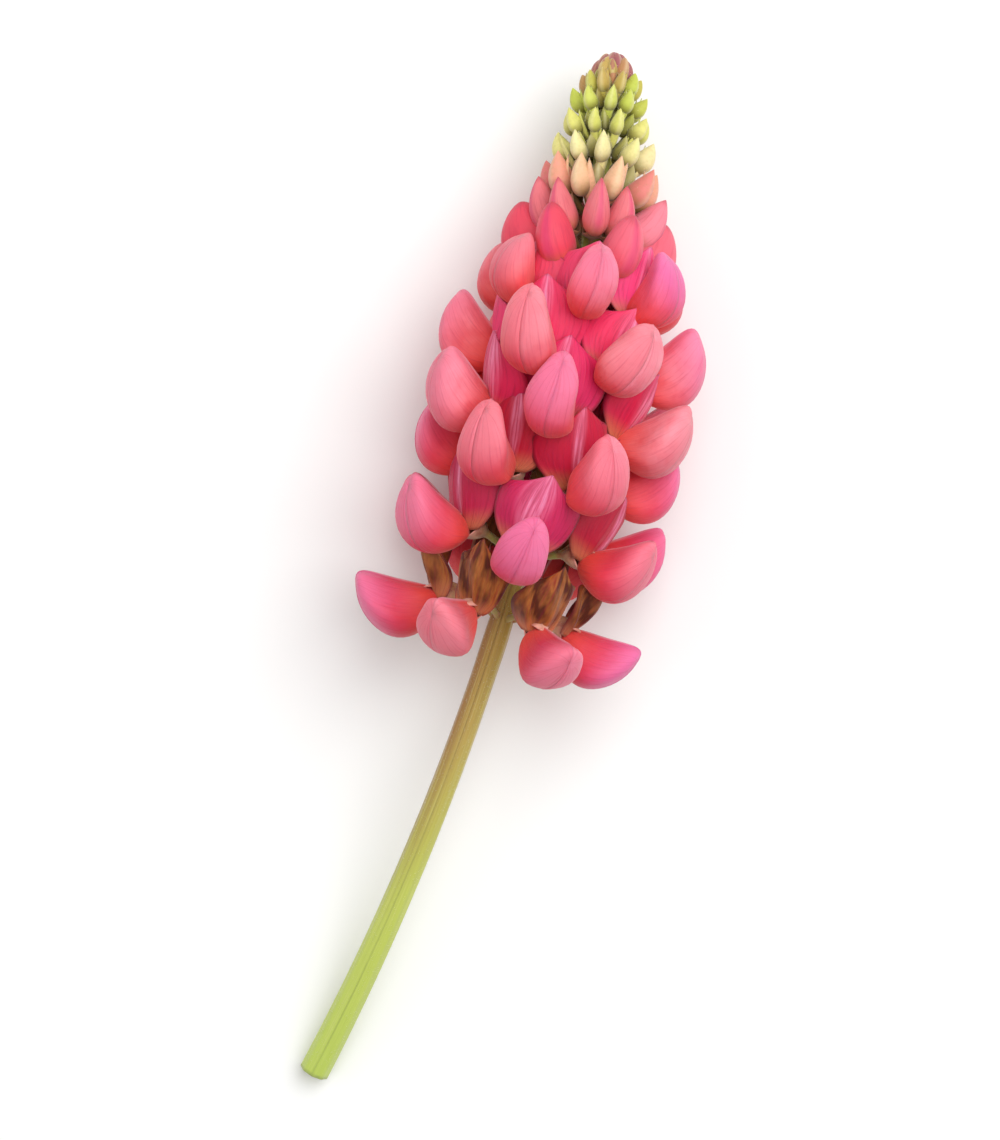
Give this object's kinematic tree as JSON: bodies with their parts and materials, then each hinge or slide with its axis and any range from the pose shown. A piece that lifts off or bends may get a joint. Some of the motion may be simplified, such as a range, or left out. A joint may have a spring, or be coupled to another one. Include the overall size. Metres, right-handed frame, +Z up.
{
  "type": "lupin flower spike",
  "caption": "Cut lupin flower spike lying on its side: whorls of pink pea flowers up a bare curved green stem, closing into buds at the tip.",
  "frame": {"origin": "bottom centre of the bounding box, on the surface the spike lies on", "axes": "+Z up from the surface; +Y from the cut end of the stem towards the tip of the spike; +X the side the stem bows towards"},
  "size_m": [0.0522, 0.1968, 0.0484],
  "materials": {
    "green_stem": "soft living stem with fine silky hairs, green at the cut end and reddish brown on the sunny side",
    "pink_petal": "thin satin petal, coral to rose pink, a little see-through at the edge"
  },
  "bodies": {
    "root": {"stem_and_buds": "green_stem", "petals": "pink_petal"}
  },
  "joints": []
}
